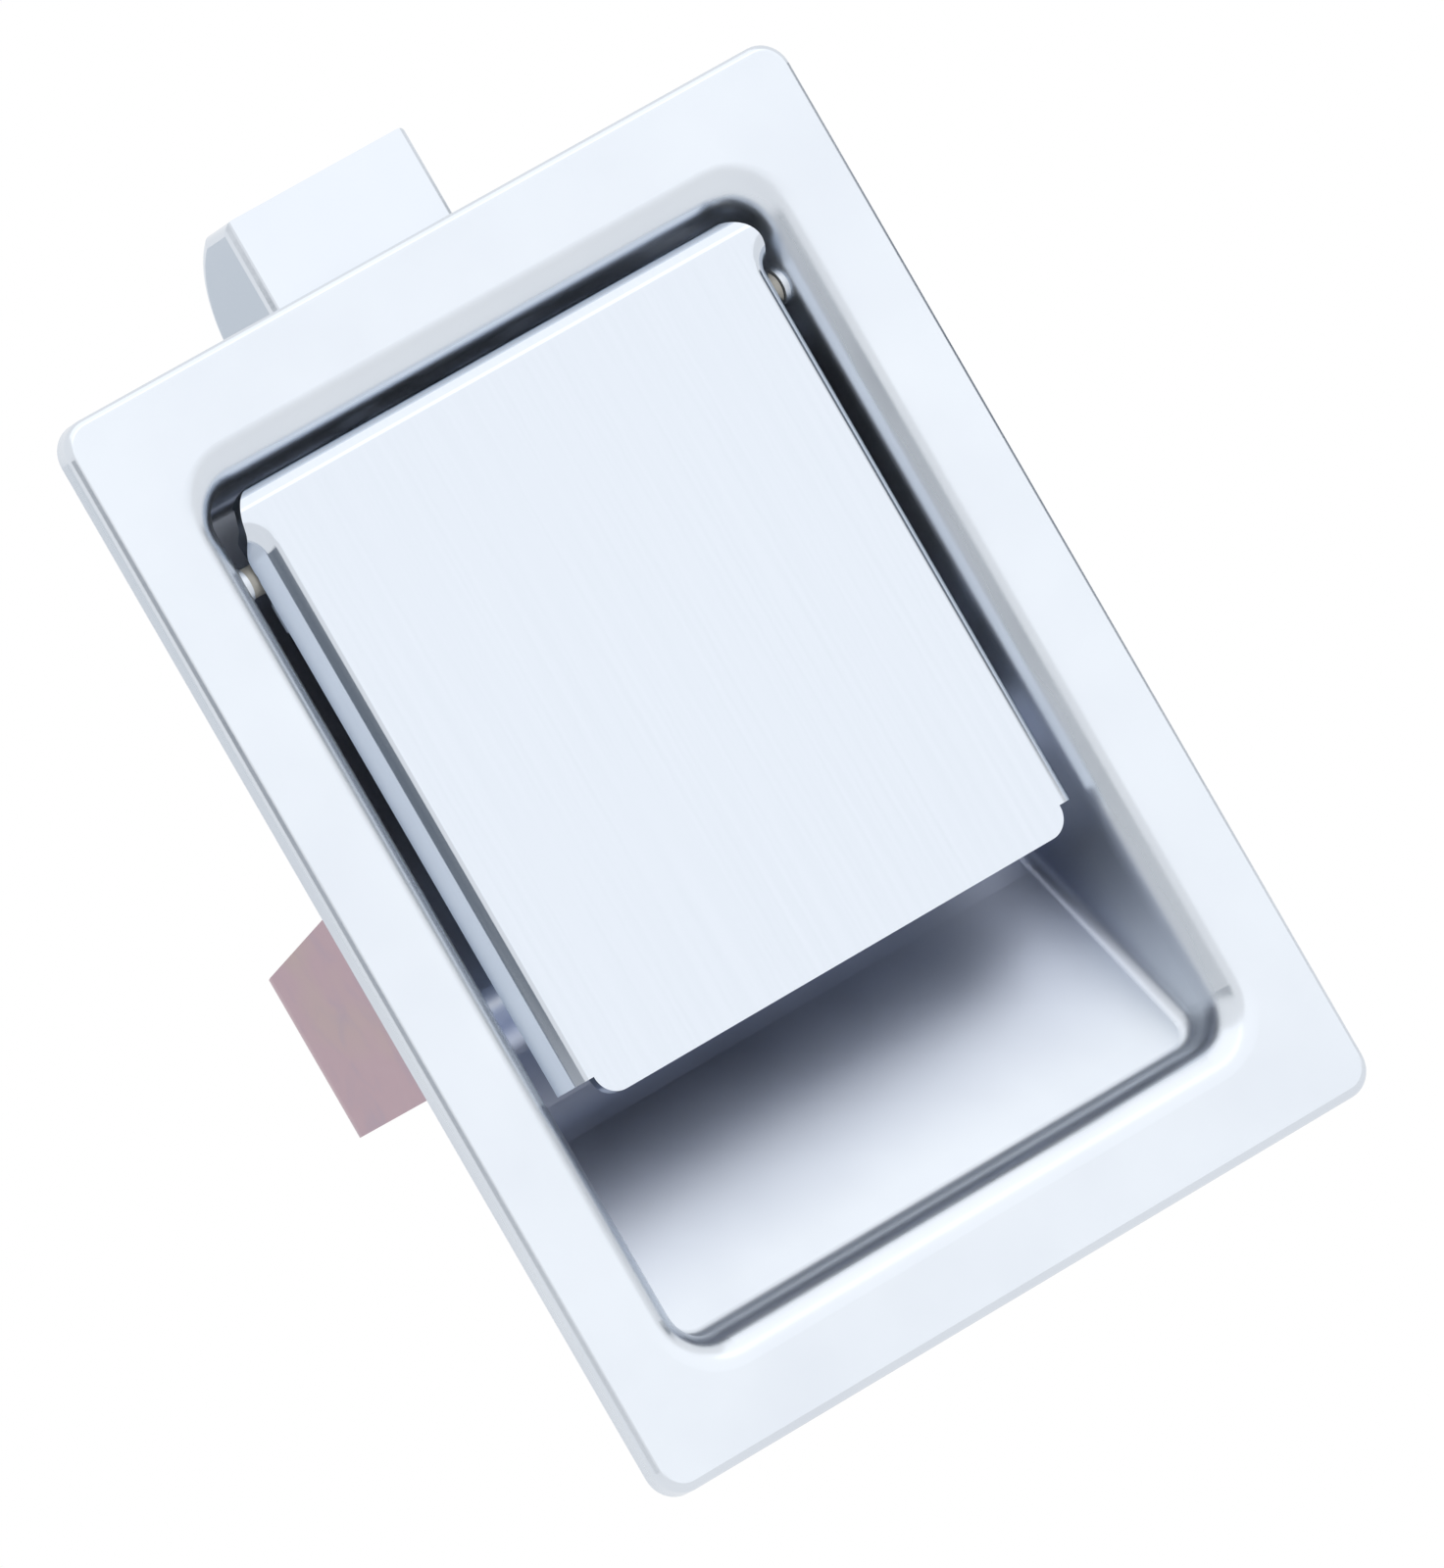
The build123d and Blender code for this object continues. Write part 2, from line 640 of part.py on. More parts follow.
# Mounting bracket: U strap whose legs clamp the panel from behind
half_span = bracket_span / 2
with BuildPart() as mounting_bracket:
    with BuildSketch(Plane.XY.offset(bracket_bottom)):
        with BuildLine():
            FilletPolyline(
                (-half_span, panel_grip),
                (-half_span, bracket_back),
                (half_span, bracket_back),
                (half_span, panel_grip),
                radius=bracket_bend_radius + bracket_sheet,
            )
            offset(amount=bracket_sheet, side=Side.RIGHT)
        make_face()
    extrude(amount=bracket_web_height + bracket_leg_flare)
    with BuildSketch(Plane.YZ):
        with BuildLine():
            Polyline(
                (panel_grip, bracket_top + bracket_leg_flare),
                (bracket_web_y, bracket_top),
                (bracket_back, bracket_top),
                (bracket_back, bracket_top + bracket_leg_flare),
                close=True,
            )
        make_face()
    extrude(amount=bracket_span, both=True, mode=Mode.SUBTRACT)
    with BuildSketch(depth_plane(bracket_web_y)):
        with Locations(*bracket_holes):
            Circle(bracket_screw_diameter / 2 + screw_clearance)
    extrude(amount=bracket_sheet, mode=Mode.SUBTRACT)
mounting_bracket.part.label = "mounting_bracket"
export_step(mounting_bracket.part, "parts/mounting_bracket.step")

# Bracket screws, plain washers and split lock washers
with BuildPart() as bracket_screws:
    with BuildSketch(depth_plane(head_y)):
        with Locations(*bracket_holes):
            RegularPolygon(bracket_head_flats / 2, 6, major_radius=False)
    extrude(amount=bracket_head_height)
    with BuildSketch(depth_plane(bracket_back - bracket_screw_length)):
        with Locations(*bracket_holes):
            Circle(bracket_screw_diameter / 2)
    extrude(amount=head_y - bracket_back + bracket_screw_length)
bracket_screws.part.label = "bracket_screws"
export_step(bracket_screws.part, "parts/bracket_screws.step")

with BuildPart() as bracket_washers:
    with BuildSketch(depth_plane(washer_y)):
        with Locations(*bracket_holes):
            Circle(bracket_washer_diameter / 2)
            Circle(bracket_screw_diameter / 2 + screw_clearance, mode=Mode.SUBTRACT)
    extrude(amount=bracket_washer_thickness)
bracket_washers.part.label = "bracket_washers"
export_step(bracket_washers.part, "parts/bracket_washers.step")

with BuildPart() as bracket_lock_washers:
    with BuildSketch(depth_plane(lock_y)):
        with Locations(*bracket_holes):
            Circle(bracket_lock_diameter / 2)
            Circle(bracket_screw_diameter / 2 + screw_clearance, mode=Mode.SUBTRACT)
            Rectangle(
                bracket_lock_gap,
                bracket_lock_diameter,
                align=(Align.CENTER, Align.MIN),
                mode=Mode.SUBTRACT,
            )
    extrude(amount=bracket_lock_thickness)
bracket_lock_washers.part.label = "bracket_lock_washers"
export_step(bracket_lock_washers.part, "parts/bracket_lock_washers.step")
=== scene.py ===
import json
import math

import bpy
from mathutils import Matrix, Vector


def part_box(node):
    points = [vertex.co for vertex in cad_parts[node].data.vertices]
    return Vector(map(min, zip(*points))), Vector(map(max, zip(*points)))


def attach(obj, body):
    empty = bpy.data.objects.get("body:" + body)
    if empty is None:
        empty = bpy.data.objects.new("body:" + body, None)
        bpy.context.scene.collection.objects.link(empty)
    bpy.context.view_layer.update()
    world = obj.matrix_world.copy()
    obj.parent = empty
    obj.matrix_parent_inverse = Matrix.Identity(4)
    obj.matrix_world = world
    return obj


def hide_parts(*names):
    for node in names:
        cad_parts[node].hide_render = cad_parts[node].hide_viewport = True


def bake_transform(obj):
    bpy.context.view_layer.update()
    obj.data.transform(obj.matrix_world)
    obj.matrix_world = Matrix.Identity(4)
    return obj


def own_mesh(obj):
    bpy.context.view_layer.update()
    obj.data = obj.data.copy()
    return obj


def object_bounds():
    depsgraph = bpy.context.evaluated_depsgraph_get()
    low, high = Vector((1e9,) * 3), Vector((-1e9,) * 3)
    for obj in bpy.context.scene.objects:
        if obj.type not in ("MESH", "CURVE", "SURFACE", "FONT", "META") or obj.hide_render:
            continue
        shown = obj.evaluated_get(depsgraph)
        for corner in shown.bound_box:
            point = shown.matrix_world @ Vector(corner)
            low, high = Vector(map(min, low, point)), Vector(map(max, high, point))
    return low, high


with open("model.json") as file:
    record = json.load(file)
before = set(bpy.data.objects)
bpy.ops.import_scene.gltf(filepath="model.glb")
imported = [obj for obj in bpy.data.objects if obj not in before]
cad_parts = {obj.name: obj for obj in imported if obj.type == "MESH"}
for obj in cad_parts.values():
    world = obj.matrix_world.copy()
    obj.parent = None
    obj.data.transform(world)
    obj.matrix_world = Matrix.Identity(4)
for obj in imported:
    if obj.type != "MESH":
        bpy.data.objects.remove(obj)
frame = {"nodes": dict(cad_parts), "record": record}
cadLow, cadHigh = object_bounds()
nodes = frame["nodes"]


def linearColour(hexCode):
    # sRGB hex to linear RGBA
    parts = [int(hexCode[i:i + 2], 16) / 255 for i in (1, 3, 5)]
    return [c / 12.92 if c <= 0.04045 else ((c + 0.055) / 1.055) ** 2.4 for c in parts] + [1.0]


def perMetre(mm):
    return 1000.0 / mm  # texture scale that gives features of this size


def addNode(tree, kind, sockets=None, **settings):
    # one node: settings on the node, then each socket gets a value or a link
    node = tree.nodes.new("ShaderNode" + kind)
    for name, value in settings.items():
        setattr(node, name, value)
    for socket, value in (sockets or {}).items():
        if isinstance(value, bpy.types.NodeSocket):
            tree.links.new(value, node.inputs[socket])
        else:
            node.inputs[socket].default_value = value
    return node


def newMaterial(name):
    material = bpy.data.materials.new(name)
    material.use_nodes = True
    tree = material.node_tree
    return material, tree, tree.nodes["Principled BSDF"]


def bareMetal(tree, shader, colour, roughness, relief):
    # what all the plated and plain metals share
    shader.inputs["Metallic"].default_value = 1.0
    tree.links.new(colour, shader.inputs["Base Color"])
    tree.links.new(roughness, shader.inputs["Roughness"])
    tree.links.new(relief, shader.inputs["Normal"])


# Chrome plate over a zinc die casting: a cool mirror on the buffed flange, softened by the faint
# orange peel of the cast skin, and a satin sheen down in the recess where no buffing wheel reaches
castingLook = {
    "colour": "#DCE2E9",
    "haze": "#D5DBE4",
    "recess": "#BEC6D9",  # painted shade: a darker, bluer colour down in the recess
    "recessDepthMm": (4.5, 12.0),
    "backToFront": (0.04, -0.04),  # the normal's Y: only faces that look forward are inside the recess
    "hazeMm": 16.0,
    "hazeSpan": (0.3, 0.7),  # of the noise, from clear to hazy
    "roughness": (0.18, 0.24),
    "unbuffed": 1.0,  # how far the finish turns to satin with depth, and how strongly the painted recess shade shows
    "satin": 0.20,  # added to the roughness where it isn't buffed
    "satinDepthMm": (-2.45, 1.0),  # where the buffing fades out, from the flange's face inward
    "peelMm": 2.6,
    "peelHeightMm": 0.006,
    "grainMm": 0.35,  # real polishing grain is finer, drawn this coarse to show
    "grainHeightMm": 0.0008,
}
boltLook = dict(castingLook, unbuffed=0.0, roughness=(0.08, 0.12))  # the bolt is buffed bright all over


def chromePlatedCasting(name, look):
    material, tree, shader = newMaterial(name)
    coordinates = addNode(tree, "TexCoord").outputs
    place = coordinates["Object"]
    haze = addNode(tree, "TexNoise", {"Vector": place, "Scale": perMetre(look["hazeMm"]), "Detail": 3.0})
    tint = addNode(tree, "Mix", {
        0: haze.outputs["Fac"],
        6: linearColour(look["colour"]),
        7: linearColour(look["haze"]),
    }, data_type="RGBA")
    rough = addNode(tree, "MapRange", {
        "Value": haze.outputs["Fac"],
        "From Min": look["hazeSpan"][0],
        "From Max": look["hazeSpan"][1],
        "To Min": look["roughness"][0],
        "To Max": look["roughness"][1],
    })
    depth = addNode(tree, "SeparateXYZ", {"Vector": place})
    unbuffed = addNode(tree, "MapRange", {
        "Value": depth.outputs["Y"],
        "From Min": look["satinDepthMm"][0] / 1000,
        "From Max": look["satinDepthMm"][1] / 1000,
        "To Max": look["unbuffed"],
    })
    # painted shade: the darker recess colour grows with depth into the recess, scaled by unbuffed
    recessShadeRamp = addNode(tree, "MapRange", {
        "Value": depth.outputs["Y"],
        "From Min": look["recessDepthMm"][0] / 1000,
        "From Max": look["recessDepthMm"][1] / 1000,
        "To Max": look["unbuffed"],
    })
    facing = addNode(tree, "SeparateXYZ", {"Vector": coordinates["Normal"]})
    inside = addNode(tree, "MapRange", {
        "Value": facing.outputs["Y"],
        "From Min": look["backToFront"][0],
        "From Max": look["backToFront"][1],
    })
    recessShadeMask = addNode(tree, "Math", {
        0: recessShadeRamp.outputs["Result"], 1: inside.outputs["Result"],
    }, operation="MULTIPLY")
    # painted shade: the darker, bluer recess colour mixed onto forward-facing faces deep in the recess
    tint = addNode(tree, "Mix", {
        0: recessShadeMask.outputs[0],
        6: tint.outputs[2],
        7: linearColour(look["recess"]),
    }, data_type="RGBA")
    rough = addNode(tree, "Math", {
        0: unbuffed.outputs["Result"], 1: look["satin"], 2: rough.outputs["Result"],
    }, operation="MULTIPLY_ADD")
    peel = addNode(tree, "TexNoise", {"Vector": place, "Scale": perMetre(look["peelMm"]), "Detail": 1.0})
    grain = addNode(tree, "TexNoise", {"Vector": place, "Scale": perMetre(look["grainMm"]), "Detail": 2.0})
    skin = addNode(tree, "Bump", {
        "Height": peel.outputs["Fac"], "Strength": 1.0, "Distance": look["peelHeightMm"] / 1000,
    })
    finish = addNode(tree, "Bump", {
        "Height": grain.outputs["Fac"], "Strength": 1.0, "Distance": look["grainHeightMm"] / 1000,
        "Normal": skin.outputs["Normal"],
    })
    bareMetal(tree, shader, tint.outputs[2], rough.outputs[0], finish.outputs["Normal"])
    return material


# Chrome plate over rolled and pressed steel sheet: flatter and clearer than the casting,
# with hair-fine lines left by the polishing belt along the paddle's length
sheetLook = {
    "colour": "#D4DAE3",
    "haze": "#D0D7E0",
    "lineMm": (0.5, 0.5, 30.0),  # belt lines, drawn coarser than real ones to show: spacing, length
    "lineSpan": (0.3, 0.7),  # of the noise, from crest to groove
    "roughness": (0.09, 0.13),
    "lineHeightMm": 0.00015,
    "waveMm": 20.0,
    "waveHeightMm": 0.012,
}


def chromePlatedSheet(look):
    material, tree, shader = newMaterial("chromePlatedPressedSheet")
    place = addNode(tree, "TexCoord").outputs["Object"]
    stretch = addNode(tree, "Mapping", {
        "Vector": place, "Scale": [perMetre(mm) for mm in look["lineMm"]],
    })
    lines = addNode(tree, "TexNoise", {"Vector": stretch.outputs["Vector"], "Scale": 1.0, "Detail": 3.0})
    tint = addNode(tree, "Mix", {
        0: lines.outputs["Fac"],
        6: linearColour(look["colour"]),
        7: linearColour(look["haze"]),
    }, data_type="RGBA")
    rough = addNode(tree, "MapRange", {
        "Value": lines.outputs["Fac"],
        "From Min": look["lineSpan"][0],
        "From Max": look["lineSpan"][1],
        "To Min": look["roughness"][0],
        "To Max": look["roughness"][1],
    })
    wave = addNode(tree, "TexNoise", {"Vector": place, "Scale": perMetre(look["waveMm"]), "Detail": 0.0})
    sheetWave = addNode(tree, "Bump", {
        "Height": wave.outputs["Fac"], "Strength": 1.0, "Distance": look["waveHeightMm"] / 1000,
    })
    finish = addNode(tree, "Bump", {
        "Height": lines.outputs["Fac"], "Strength": 1.0, "Distance": look["lineHeightMm"] / 1000,
        "Normal": sheetWave.outputs["Normal"],
    })
    bareMetal(tree, shader, tint.outputs[2], rough.outputs["Result"], finish.outputs["Normal"])
    return material


# Zinc electroplate on pressed steel: a plain grey with soft cloudy patches of brighter crystal
zincLook = {
    "dark": "#A9ADB1",
    "bright": "#B3B7BB",
    "cloudMm": 7.0,
    "cloudSpan": (0.35, 0.65),  # of the noise, from dark to bright
    "crystalMm": 0.6,  # real crystals are finer, drawn this coarse to show
    "roughness": (0.32, 0.36),
    "crystalHeightMm": 0.001,
}


def zincPlatedSteel(look):
    material, tree, shader = newMaterial("zincPlatedSteel")
    place = addNode(tree, "TexCoord").outputs["Object"]
    cloud = addNode(tree, "TexNoise", {"Vector": place, "Scale": perMetre(look["cloudMm"]), "Detail": 4.0})
    crystal = addNode(tree, "TexVoronoi", {"Vector": place, "Scale": perMetre(look["crystalMm"])})
    patch = addNode(tree, "MapRange", {
        "Value": cloud.outputs["Fac"],
        "From Min": look["cloudSpan"][0],
        "From Max": look["cloudSpan"][1],
    })
    tint = addNode(tree, "Mix", {
        0: patch.outputs["Result"],
        6: linearColour(look["dark"]),
        7: linearColour(look["bright"]),
    }, data_type="RGBA")
    rough = addNode(tree, "MapRange", {
        "Value": patch.outputs["Result"],
        "To Min": look["roughness"][1],
        "To Max": look["roughness"][0],
    })
    finish = addNode(tree, "Bump", {
        "Height": crystal.outputs["Distance"], "Strength": 1.0, "Distance": look["crystalHeightMm"] / 1000,
    })
    bareMetal(tree, shader, tint.outputs[2], rough.outputs["Result"], finish.outputs["Normal"])
    return material


# Passivated zinc on the strap: a thin chromate film, mauve pink with faint drifts of straw and violet
filmLook = {
    "pink": "#B9A1AA",
    "straw": "#B9A7A5",
    "violet": "#AFA0AE",
    "driftMm": 12.0,
    "strawSpan": (0.5, 0.75),  # of the drift noise
    "streakMm": 4.0,
    "violetSpan": (0.5, 0.9),  # of the streak noise
    "roughness": (0.30, 0.42),
    "grainMm": 0.5,
    "grainHeightMm": 0.002,
}


def passivatedZinc(look):
    material, tree, shader = newMaterial("passivatedZincPlate")
    place = addNode(tree, "TexCoord").outputs["Object"]
    drift = addNode(tree, "TexNoise", {"Vector": place, "Scale": perMetre(look["driftMm"]), "Detail": 2.0})
    streak = addNode(tree, "TexNoise", {
        "Vector": place, "Scale": perMetre(look["streakMm"]), "Detail": 3.0, "Distortion": 0.6,
    })
    toStraw = addNode(tree, "MapRange", {
        "Value": drift.outputs["Fac"],
        "From Min": look["strawSpan"][0],
        "From Max": look["strawSpan"][1],
    })
    warm = addNode(tree, "Mix", {
        0: toStraw.outputs["Result"],
        6: linearColour(look["pink"]),
        7: linearColour(look["straw"]),
    }, data_type="RGBA")
    toViolet = addNode(tree, "MapRange", {
        "Value": streak.outputs["Fac"],
        "From Min": look["violetSpan"][0],
        "From Max": look["violetSpan"][1],
    })
    film = addNode(tree, "Mix", {
        0: toViolet.outputs["Result"],
        6: warm.outputs[2],
        7: linearColour(look["violet"]),
    }, data_type="RGBA")
    rough = addNode(tree, "MapRange", {
        "Value": streak.outputs["Fac"],
        "To Min": look["roughness"][0],
        "To Max": look["roughness"][1],
    })
    grain = addNode(tree, "TexNoise", {"Vector": place, "Scale": perMetre(look["grainMm"]), "Detail": 2.0})
    finish = addNode(tree, "Bump", {
        "Height": grain.outputs["Fac"], "Strength": 1.0, "Distance": look["grainHeightMm"] / 1000,
    })
    bareMetal(tree, shader, film.outputs[2], rough.outputs["Result"], finish.outputs["Normal"])
    return material


# Turned and plated steel of the pin, screws and washers: bright, with a little tool chatter
steelLook = {
    "bright": "#C3C6CA",
    "dull": "#A9ADB2",
    "chatterMm": 0.4,
    "stainMm": 3.0,
    "roughness": (0.18, 0.32),
    "chatterHeightMm": 0.0015,
}


def turnedSteel(look):
    material, tree, shader = newMaterial("turnedPlatedSteel")
    place = addNode(tree, "TexCoord").outputs["Object"]
    stain = addNode(tree, "TexNoise", {"Vector": place, "Scale": perMetre(look["stainMm"]), "Detail": 3.0})
    chatter = addNode(tree, "TexNoise", {
        "Vector": place, "Scale": perMetre(look["chatterMm"]), "Detail": 1.0,
    })
    tint = addNode(tree, "Mix", {
        0: stain.outputs["Fac"],
        6: linearColour(look["bright"]),
        7: linearColour(look["dull"]),
    }, data_type="RGBA")
    rough = addNode(tree, "MapRange", {
        "Value": stain.outputs["Fac"],
        "To Min": look["roughness"][0],
        "To Max": look["roughness"][1],
    })
    finish = addNode(tree, "Bump", {
        "Height": chatter.outputs["Fac"], "Strength": 1.0, "Distance": look["chatterHeightMm"] / 1000,
    })
    bareMetal(tree, shader, tint.outputs[2], rough.outputs["Result"], finish.outputs["Normal"])
    return material


# Drawn spring wire, oiled: a dark bright steel with long draw marks and a brownish oil tint
wireLook = {
    "steel": "#8D8F93",
    "oil": "#77716B",
    "oilMm": 2.0,
    "roughness": (0.22, 0.36),
    "markMm": 0.25,
    "markHeightMm": 0.001,
}


def drawnWire(look):
    material, tree, shader = newMaterial("drawnSpringWire")
    place = addNode(tree, "TexCoord").outputs["Object"]
    oil = addNode(tree, "TexNoise", {"Vector": place, "Scale": perMetre(look["oilMm"]), "Detail": 3.0})
    marks = addNode(tree, "TexNoise", {"Vector": place, "Scale": perMetre(look["markMm"]), "Detail": 1.0})
    tint = addNode(tree, "Mix", {
        0: oil.outputs["Fac"],
        6: linearColour(look["steel"]),
        7: linearColour(look["oil"]),
    }, data_type="RGBA")
    rough = addNode(tree, "MapRange", {
        "Value": oil.outputs["Fac"],
        "To Min": look["roughness"][0],
        "To Max": look["roughness"][1],
    })
    finish = addNode(tree, "Bump", {
        "Height": marks.outputs["Fac"], "Strength": 1.0, "Distance": look["markHeightMm"] / 1000,
    })
    bareMetal(tree, shader, tint.outputs[2], rough.outputs["Result"], finish.outputs["Normal"])
    return material


# Natural nylon, moulded: dull, waxy and slightly uneven, drawn darker than natural as painted shade for the
# bushes down in the gaps
nylonLook = {
    # painted shade: both tones are darker than natural nylon, standing in for the shade in the gaps
    "milk": "#BCBAB3",
    "shade": "#ACA9A1",
    "mottleMm": 1.5,
    "roughness": 0.42,
    "sparkMm": 0.2,
    "sparkHeightMm": 0.002,
    "ior": 1.53,
}


def mouldedNylon(look):
    material, tree, shader = newMaterial("mouldedNylon")
    place = addNode(tree, "TexCoord").outputs["Object"]
    mottle = addNode(tree, "TexNoise", {"Vector": place, "Scale": perMetre(look["mottleMm"]), "Detail": 2.0})
    spark = addNode(tree, "TexNoise", {"Vector": place, "Scale": perMetre(look["sparkMm"]), "Detail": 1.0})
    tint = addNode(tree, "Mix", {
        0: mottle.outputs["Fac"],
        6: linearColour(look["milk"]),
        7: linearColour(look["shade"]),
    }, data_type="RGBA")
    finish = addNode(tree, "Bump", {
        "Height": spark.outputs["Fac"], "Strength": 1.0, "Distance": look["sparkHeightMm"] / 1000,
    })
    shader.inputs["Roughness"].default_value = look["roughness"]
    shader.inputs["IOR"].default_value = look["ior"]
    tree.links.new(tint.outputs[2], shader.inputs["Base Color"])
    tree.links.new(finish.outputs["Normal"], shader.inputs["Normal"])
    return material


finishOfSlot = {
    "chrome_casting": chromePlatedCasting("chromePlatedZincCasting", castingLook),
    "chrome_sheet": chromePlatedSheet(sheetLook),
    "zinc_plate": zincPlatedSteel(zincLook),
    "iridescent_zinc": passivatedZinc(filmLook),
    "bright_steel": turnedSteel(steelLook),
    "spring_steel": drawnWire(wireLook),
    "nylon": mouldedNylon(nylonLook),
}
finishOfNode = {"bolt": chromePlatedCasting("buffedChromeZincCasting", boltLook)}
for part in frame["record"]["subparts"]:
    for slot in nodes[part["node"]].material_slots:
        slot.material = finishOfNode.get(part["node"], finishOfSlot[part["material_slot"]])
print("finishes:", len(finishOfSlot) + len(finishOfNode), "materials on the CAD nodes")


stepsPerTurn = 36  # of a coil
stepsPerLeg = 8


def wirePiece(name, path, wireMm):
    # round wire along a path of points in mm, with domed ends
    points = [Vector(p) / 1000 for p in path]
    radius = wireMm / 2000
    sides = 14
    tangents = [
        (points[min(i + 1, len(points) - 1)] - points[max(i - 1, 0)]).normalized() for i in range(len(points))
    ]
    across = tangents[0].orthogonal().normalized()
    rings = []
    for point, tangent in zip(points, tangents):
        across = (across - tangent * across.dot(tangent)).normalized()
        rings.append((point, tangent, across, radius))
    for step in (0.45, 0.8):  # two smaller rings round off each end
        shrink = math.sqrt(1 - step ** 2)
        rings.insert(0, (points[0] - tangents[0] * radius * step, tangents[0], rings[0][2], radius * shrink))
        rings.append((points[-1] + tangents[-1] * radius * step, tangents[-1], rings[-1][2], radius * shrink))
    corners = []
    for centre, tangent, sideways, size in rings:
        upward = tangent.cross(sideways)
        for k in range(sides):
            turn = 2 * math.pi * k / sides
            corners.append(centre + (sideways * math.cos(turn) + upward * math.sin(turn)) * size)
    faces = [
        (r * sides + k, r * sides + (k + 1) % sides, (r + 1) * sides + (k + 1) % sides, (r + 1) * sides + k)
        for r in range(len(rings) - 1) for k in range(sides)
    ]
    faces.append(tuple(range(sides - 1, -1, -1)))
    faces.append(tuple(range((len(rings) - 1) * sides, len(rings) * sides)))
    mesh = bpy.data.meshes.new(name)
    mesh.from_pydata(corners, [], faces)
    mesh.polygons.foreach_set("use_smooth", [len(f) == 4 for f in faces])
    mesh.materials.append(finishOfSlot["spring_steel"])
    piece = bpy.data.objects.new(name, mesh)
    bpy.context.collection.objects.link(piece)
    return piece


# Torsion springs on the hinge pin: one leg stands on the pan's anchor, the other on the paddle's tab
paddleSpring = {
    "wireMm": 0.8,
    "coilMm": 4.4,
    "turns": 5,
    "fromX": 9.6,
    "lengthMm": 12.4,
    "axisYZ": (2.2, 35.6),
    "upLegMm": 5.2,
    "downLegMm": 5.6,
}
for sideName, side in (("left", -1), ("right", 1)):
    coil = []
    coilSteps = paddleSpring["turns"] * stepsPerTurn
    for step in range(coilSteps + 1):
        share = step / coilSteps
        turn = -2 * math.pi * paddleSpring["turns"] * share
        coil.append(Vector((
            side * (paddleSpring["fromX"] + paddleSpring["lengthMm"] * share),
            paddleSpring["axisYZ"][0] + paddleSpring["coilMm"] / 2 * math.cos(turn),
            paddleSpring["axisYZ"][1] + paddleSpring["coilMm"] / 2 * math.sin(turn),
        )))
    upLeg = (coil[0] - coil[1]).normalized() * paddleSpring["upLegMm"]
    downLeg = (coil[-1] - coil[-2]).normalized() * paddleSpring["downLegMm"]
    path = [coil[0] + upLeg * (1 - k / stepsPerLeg) for k in range(stepsPerLeg)] + coil
    path += [coil[-1] + downLeg * (k + 1) / stepsPerLeg for k in range(stepsPerLeg)]
    piece = wirePiece("paddleSpring_" + sideName, path, paddleSpring["wireMm"])
    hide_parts("paddle_spring_" + sideName)
    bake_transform(piece)

# Compression springs under the bolt: closed end coils, which the bolt presses together as it goes down; drawn
# here in one shape that rides with the frame
boltSpring = {
    "wireMm": 0.9,
    "coilMm": 5.0,
    "openTurns": 5.0,
    "closedTurns": 0.8,  # at each end
    "centreX": 5.5,
    "centreY": 17.2,
    "lowZ": 7.6,
    "highZ": 31.4,
    "seatZ": 7.0,
    "pressedShare": 0.574,  # of its height with the bolt right down
}
for sideName, side in (("left", -1), ("right", 1)):
    closed = boltSpring["closedTurns"]
    allTurns = boltSpring["openTurns"] + 2 * closed
    closedRise = closed * boltSpring["wireMm"]
    openRise = boltSpring["highZ"] - boltSpring["lowZ"] - 2 * closedRise
    path = []
    coilSteps = round(allTurns * stepsPerTurn)
    for step in range(coilSteps + 1):
        turns = allTurns * step / coilSteps
        rise = boltSpring["wireMm"] * min(turns, closed)
        rise += openRise * min(max(turns - closed, 0), boltSpring["openTurns"]) / boltSpring["openTurns"]
        rise += boltSpring["wireMm"] * max(turns - closed - boltSpring["openTurns"], 0)
        path.append((
            side * boltSpring["centreX"] + boltSpring["coilMm"] / 2 * math.cos(2 * math.pi * turns),
            boltSpring["centreY"] + boltSpring["coilMm"] / 2 * math.sin(2 * math.pi * turns),
            boltSpring["lowZ"] + rise,
        ))
    piece = wirePiece("boltSpring_" + sideName, path, boltSpring["wireMm"])
    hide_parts("bolt_spring_" + sideName)
    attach(piece, "frame")
    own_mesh(piece)
print("springs: two torsion, two compression")

# Studio: white all round for the eye and the reflections, two soft boxes, and cards that shade the rims
studio = {
    "white": "#FFFFFF",
    "fill": 0.85,  # the world's strength as light on matt surfaces
    "floorColour": "#F4F5F6",
    "floorRoughness": 0.9,
    "floorZ": -0.2,
    "floorRadius": 1.6,
    "floorSides": 96,
}
softBoxes = {
    "keySoftBox": {"place": (0.75, -1.50, 0.13), "size": 2.2, "power": 4.1},
    "topSoftBox": {"place": (0.15, -0.50, 0.76), "size": 1.0, "power": 1.10},
}
cards = {
    "greyCard": {"place": (-0.351, 0.719, 0.062), "size": (0.30, 0.08), "colour": "#DCE1E6"},
    "darkCardLeft": {"place": (-0.678, -0.424, 0.025), "size": (0.86, 0.11), "colour": "#6E7680"},
    "darkCardRight": {"place": (0.797, 0.07, 0.030), "size": (0.70, 0.10), "colour": "#69717B"},
}


def aimAt(place, target):
    return (Vector(target) - Vector(place)).to_track_quat("-Z", "Y").to_matrix().to_4x4()


world = bpy.data.worlds.new("studioWhite")
bpy.context.scene.world = world
world.use_nodes = True
tree = world.node_tree
tree.nodes.clear()
path = addNode(tree, "LightPath").outputs
seen = addNode(tree, "Math", {0: path["Is Camera Ray"], 1: path["Is Glossy Ray"]}, operation="MAXIMUM")
seen = addNode(tree, "Math", {0: seen.outputs[0], 1: path["Is Transmission Ray"]}, operation="MAXIMUM")
fill = addNode(tree, "Background", {"Color": linearColour(studio["white"]), "Strength": studio["fill"]})
white = addNode(tree, "Background", {"Color": linearColour(studio["white"]), "Strength": 1.0})
both = addNode(tree, "MixShader", {0: seen.outputs[0], 1: fill.outputs[0], 2: white.outputs[0]})
addNode(tree, "OutputWorld", {"Surface": both.outputs[0]})

